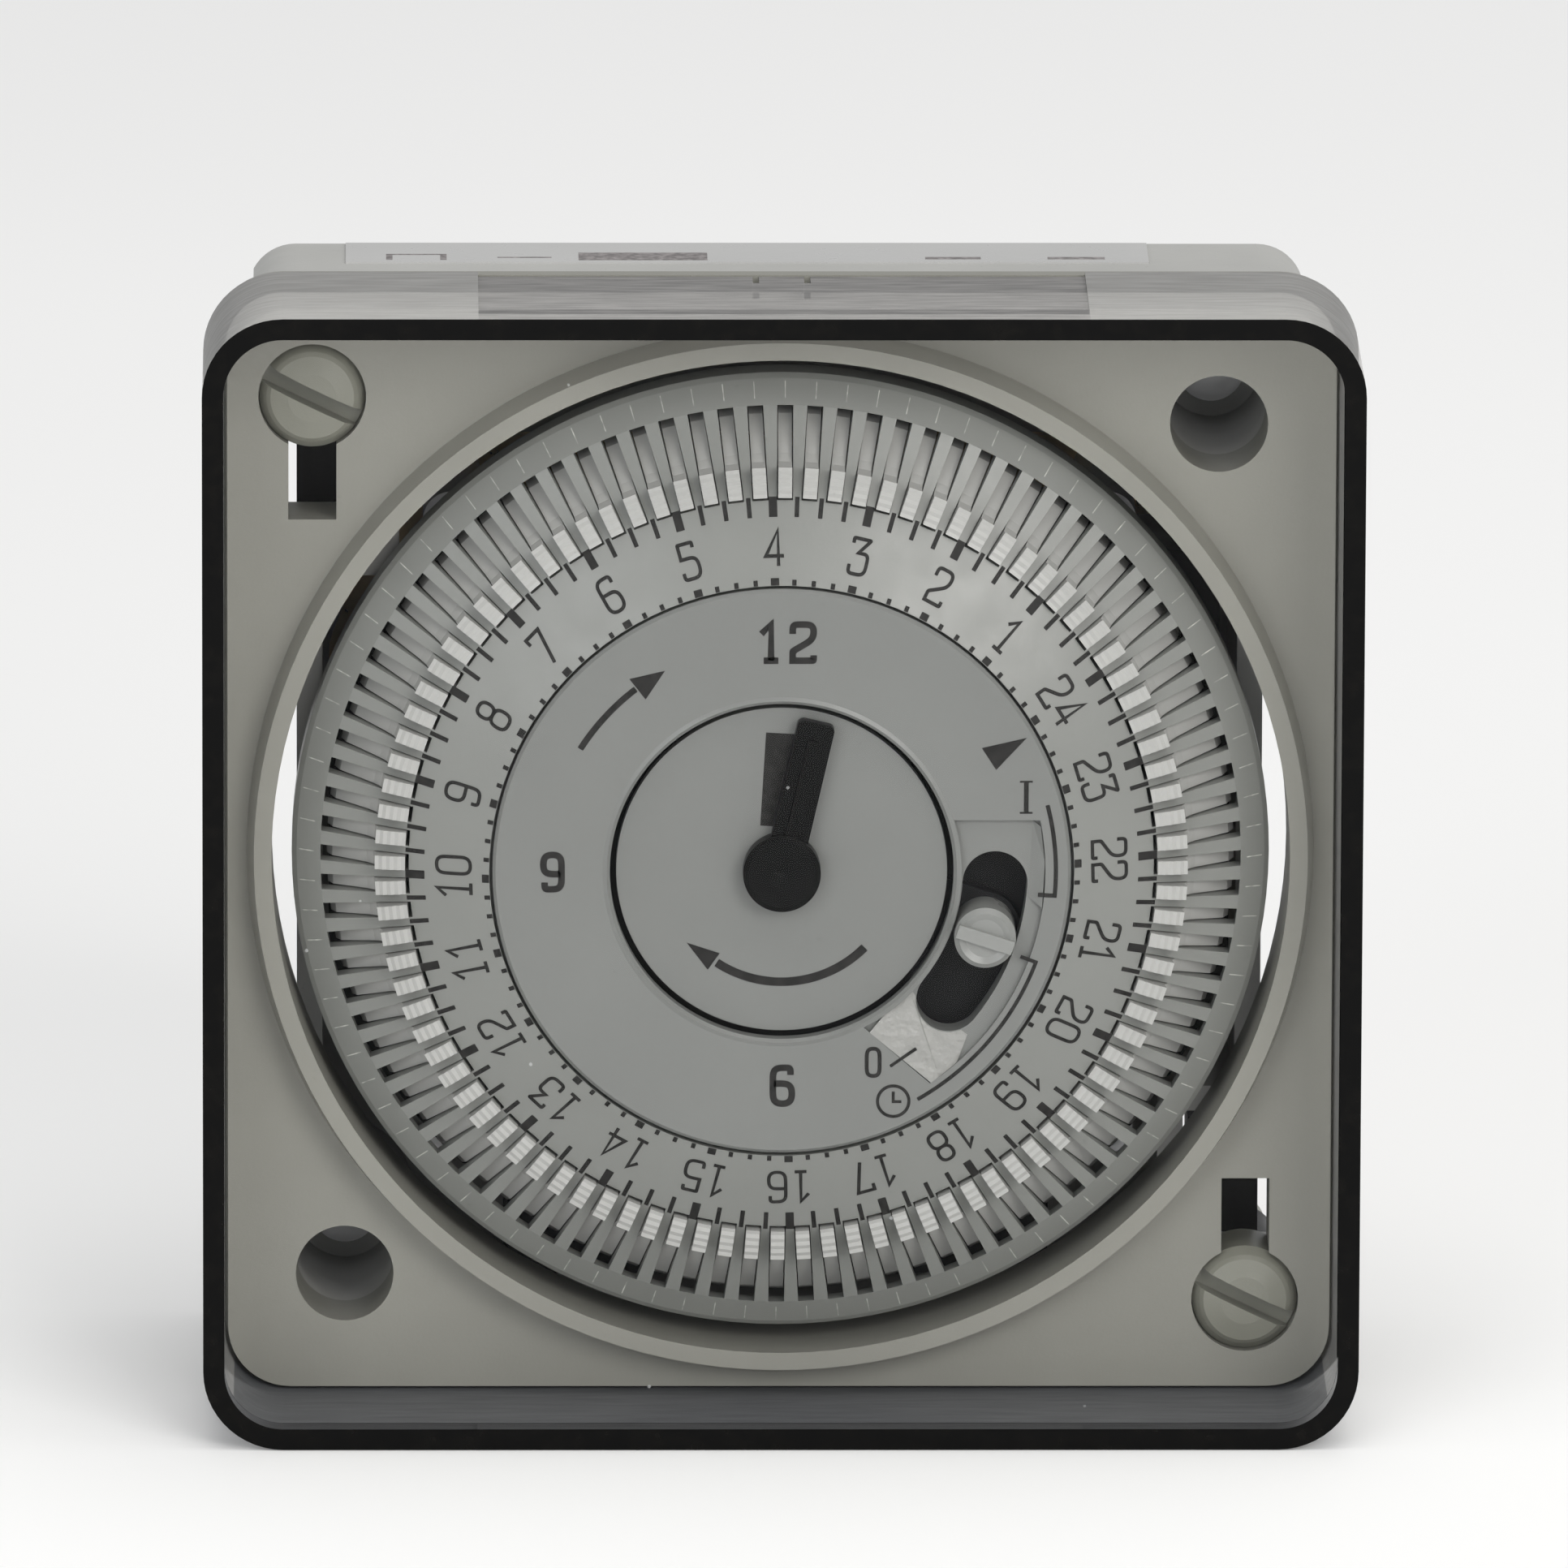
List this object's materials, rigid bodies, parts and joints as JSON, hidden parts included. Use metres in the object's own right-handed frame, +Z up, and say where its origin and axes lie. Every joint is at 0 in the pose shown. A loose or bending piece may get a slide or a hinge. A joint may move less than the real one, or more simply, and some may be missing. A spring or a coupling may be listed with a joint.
{
  "type": "programmable timer",
  "caption": "Square panel or wall mounted mechanical day timer with a tappet dial, hour disc, minute pointer, override switch and clear hood that snaps into place.",
  "frame": {"origin": "centre of the case's back face", "axes": "+Z up, +X right seen from the front, +Y out of the back (the hood faces -Y)"},
  "size_m": [0.072, 0.036, 0.072],
  "materials": {
    "clear_plastic": "clear, polished",
    "housing_grey": "fine matt, warm grey",
    "case_grey": "matt light grey",
    "label": "satin film",
    "steel": "turned",
    "screw_grey": "satin moulded",
    "black_plastic": "satin moulded",
    "fascia_grey": "satin, cool grey",
    "dark_plastic": "moulded",
    "brass": "stamped",
    "dial_grey": "satin, cool grey",
    "tappet_white": "satin, off white",
    "gear_plastic": "moulded natural acetal",
    "motor_steel": "zinc plated",
    "coil": "taped winding",
    "magnet": "ferrite",
    "knob_grey": "satin moulded",
    "contact": "sprung copper alloy"
  },
  "bodies": {
    "case": {"front_housing": "housing_grey", "rear_case": "case_grey", "rating_label": "label", "case_screws": "steel", "fascia_disc": "fascia_grey", "dial_bearing": "dark_plastic", "movement_front_plate": "dark_plastic", "movement_back_plate": "brass", "plate_pillars": "steel", "idler_pin": "steel", "motor_can": "motor_steel", "motor_cover": "motor_steel", "motor_coil": "coil", "switch_body": "black_plastic", "switch_lid": "black_plastic", "fixed_contacts": "contact", "terminal_block": "black_plastic", "terminal_clamps": "brass"},
    "hood": {"clear_hood": "clear_plastic"},
    "fixing_screw_upper": {"fixing_screw_upper": "screw_grey"},
    "fixing_screw_lower": {"fixing_screw_lower": "screw_grey"},
    "claw_upper": {"clamp_claw_upper": "black_plastic"},
    "claw_lower": {"clamp_claw_lower": "black_plastic"},
    "dial": {"programme_dial": "dial_grey", "tappet_pivot_ring": "steel", "dial_ring_gear": "dark_plastic", "tappets_right": "tappet_white", "tappets_lower_right": "tappet_white", "tappets_lower_left": "tappet_white", "tappets_left": "tappet_white"},
    "hour": {"hour_disc": "fascia_grey", "hour_tube": "brass", "hour_wheel": "brass"},
    "minute": {"minute_pointer": "black_plastic", "minute_arbor": "steel", "cannon_pinion": "brass", "drive_wheel": "brass"},
    "motion": {"minute_wheel": "brass", "hour_pinion_wheel": "brass", "transfer_pinion": "gear_plastic", "motion_arbor": "steel"},
    "idler": {"dial_idler": "gear_plastic"},
    "rotor": {"motor_rotor": "magnet"},
    "motor_out": {"motor_pinion": "gear_plastic"},
    "override": {"override_arm": "dark_plastic", "override_knob": "knob_grey"},
    "plunger": {"trip_plunger": "gear_plastic"},
    "blade": {"contact_blade": "contact"},
    "tappet_01": {"tappet_01": "tappet_white"},
    "tappet_02": {"tappet_02": "tappet_white"},
    "tappet_03": {"tappet_03": "tappet_white"},
    "tappet_04": {"tappet_04": "tappet_white"},
    "tappet_05": {"tappet_05": "tappet_white"},
    "tappet_06": {"tappet_06": "tappet_white"},
    "tappet_07": {"tappet_07": "tappet_white"},
    "tappet_08": {"tappet_08": "tappet_white"},
    "tappet_09": {"tappet_09": "tappet_white"},
    "tappet_10": {"tappet_10": "tappet_white"},
    "tappet_11": {"tappet_11": "tappet_white"},
    "tappet_12": {"tappet_12": "tappet_white"}
  },
  "joints": [
    {"name": "hood_off", "type": "slide", "parent": "case", "child": "hood", "axis": [0, -1, 0], "range_m": [0, 0.03]},
    {"name": "dial_spin", "type": "hinge", "parent": "case", "child": "dial", "pos_m": [0, -0.018, 0], "axis": [0, 1, 0], "continuous": true},
    {"name": "hour_spin", "type": "hinge", "parent": "case", "child": "hour", "pos_m": [0, -0.018, 0], "axis": [0, 1, 0], "continuous": true},
    {"name": "minute_spin", "type": "hinge", "parent": "case", "child": "minute", "pos_m": [0, -0.018, 0], "axis": [0, 1, 0], "continuous": true},
    {"name": "motion_spin", "type": "hinge", "parent": "case", "child": "motion", "pos_m": [-0.006, -0.018, 0], "axis": [0, 1, 0], "continuous": true},
    {"name": "idler_spin", "type": "hinge", "parent": "case", "child": "idler", "pos_m": [-0.0138, -0.018, 0], "axis": [0, 1, 0], "continuous": true},
    {"name": "motor_out_spin", "type": "hinge", "parent": "case", "child": "motor_out", "pos_m": [0, -0.018, -0.009], "axis": [0, 1, 0], "continuous": true},
    {"name": "rotor_spin", "type": "hinge", "parent": "case", "child": "rotor", "pos_m": [-0.011, -0.018, -0.0045], "axis": [0, 1, 0], "continuous": true},
    {"name": "override_swing", "type": "hinge", "parent": "case", "child": "override", "pos_m": [0, -0.018, 0], "axis": [0, 1, 0], "range_deg": [-14.4, 20.4]},
    {"name": "fixing_screw_upper_turn", "type": "hinge", "parent": "case", "child": "fixing_screw_upper", "pos_m": [-0.0292, -0.018, 0.0289], "axis": [0, 1, 0], "continuous": true},
    {"name": "fixing_screw_lower_turn", "type": "hinge", "parent": "case", "child": "fixing_screw_lower", "pos_m": [0.0292, -0.018, -0.0289], "axis": [0, 1, 0], "continuous": true},
    {"name": "claw_upper_swing", "type": "hinge", "parent": "case", "child": "claw_upper", "pos_m": [-0.0292, -0.018, 0.0289], "axis": [0, 1, 0], "range_deg": [0, 90]},
    {"name": "claw_lower_swing", "type": "hinge", "parent": "case", "child": "claw_lower", "pos_m": [0.0292, -0.018, -0.0289], "axis": [0, 1, 0], "range_deg": [0, 90]},
    {"name": "plunger_slide", "type": "slide", "parent": "case", "child": "plunger", "axis": [0, 1, 0], "range_m": [0, 0.0012], "stiffness_N_per_m": 150, "springref_m": -0.0004},
    {"name": "blade_swing", "type": "hinge", "parent": "case", "child": "blade", "pos_m": [0.011, -0.0148, 0.0125], "axis": [0, 0, 1], "range_deg": [0, 5.6]},
    {"name": "tappet_01_swing", "type": "hinge", "parent": "dial", "child": "tappet_01", "pos_m": [-0.00881, -0.0238, 0.02168], "axis": [-0.9264, 0, -0.3766], "range_deg": [0, 35]},
    {"name": "tappet_02_swing", "type": "hinge", "parent": "dial", "child": "tappet_02", "pos_m": [-0.00738, -0.0238, 0.02221], "axis": [-0.949, 0, -0.3152], "range_deg": [0, 35]},
    {"name": "tappet_03_swing", "type": "hinge", "parent": "dial", "child": "tappet_03", "pos_m": [-0.00591, -0.0238, 0.02264], "axis": [-0.9676, 0, -0.2525], "range_deg": [0, 35]},
    {"name": "tappet_04_swing", "type": "hinge", "parent": "dial", "child": "tappet_04", "pos_m": [-0.00441, -0.0238, 0.02298], "axis": [-0.982, 0, -0.1887], "range_deg": [0, 35]},
    {"name": "tappet_05_swing", "type": "hinge", "parent": "dial", "child": "tappet_05", "pos_m": [-0.0029, -0.0238, 0.02322], "axis": [-0.9923, 0, -0.124], "range_deg": [0, 35]},
    {"name": "tappet_06_swing", "type": "hinge", "parent": "dial", "child": "tappet_06", "pos_m": [-0.00138, -0.0238, 0.02336], "axis": [-0.9983, 0, -0.0589], "range_deg": [0, 35]},
    {"name": "tappet_07_swing", "type": "hinge", "parent": "dial", "child": "tappet_07", "pos_m": [0.00015, -0.0238, 0.0234], "axis": [-1, 0, 0.0065], "range_deg": [0, 35]},
    {"name": "tappet_08_swing", "type": "hinge", "parent": "dial", "child": "tappet_08", "pos_m": [0.00168, -0.0238, 0.02334], "axis": [-0.9974, 0, 0.0719], "range_deg": [0, 35]},
    {"name": "tappet_09_swing", "type": "hinge", "parent": "dial", "child": "tappet_09", "pos_m": [0.00321, -0.0238, 0.02318], "axis": [-0.9906, 0, 0.137], "range_deg": [0, 35]},
    {"name": "tappet_10_swing", "type": "hinge", "parent": "dial", "child": "tappet_10", "pos_m": [0.00471, -0.0238, 0.02292], "axis": [-0.9795, 0, 0.2015], "range_deg": [0, 35]},
    {"name": "tappet_11_swing", "type": "hinge", "parent": "dial", "child": "tappet_11", "pos_m": [0.0062, -0.0238, 0.02256], "axis": [-0.9642, 0, 0.2651], "range_deg": [0, 35]},
    {"name": "tappet_12_swing", "type": "hinge", "parent": "dial", "child": "tappet_12", "pos_m": [0.00767, -0.0238, 0.02211], "axis": [-0.9448, 0, 0.3276], "range_deg": [0, 35]}
  ],
  "couplings": [
    {"joint": "hour_spin", "follows": "dial_spin", "ratio": 2},
    {"joint": "minute_spin", "follows": "dial_spin", "ratio": 24},
    {"joint": "motion_spin", "follows": "dial_spin", "ratio": -8},
    {"joint": "idler_spin", "follows": "dial_spin", "ratio": 3.5556},
    {"joint": "motor_out_spin", "follows": "dial_spin", "ratio": -96},
    {"joint": "blade_swing", "follows": "plunger_slide", "rad_per_m": 79.4}
  ]
}
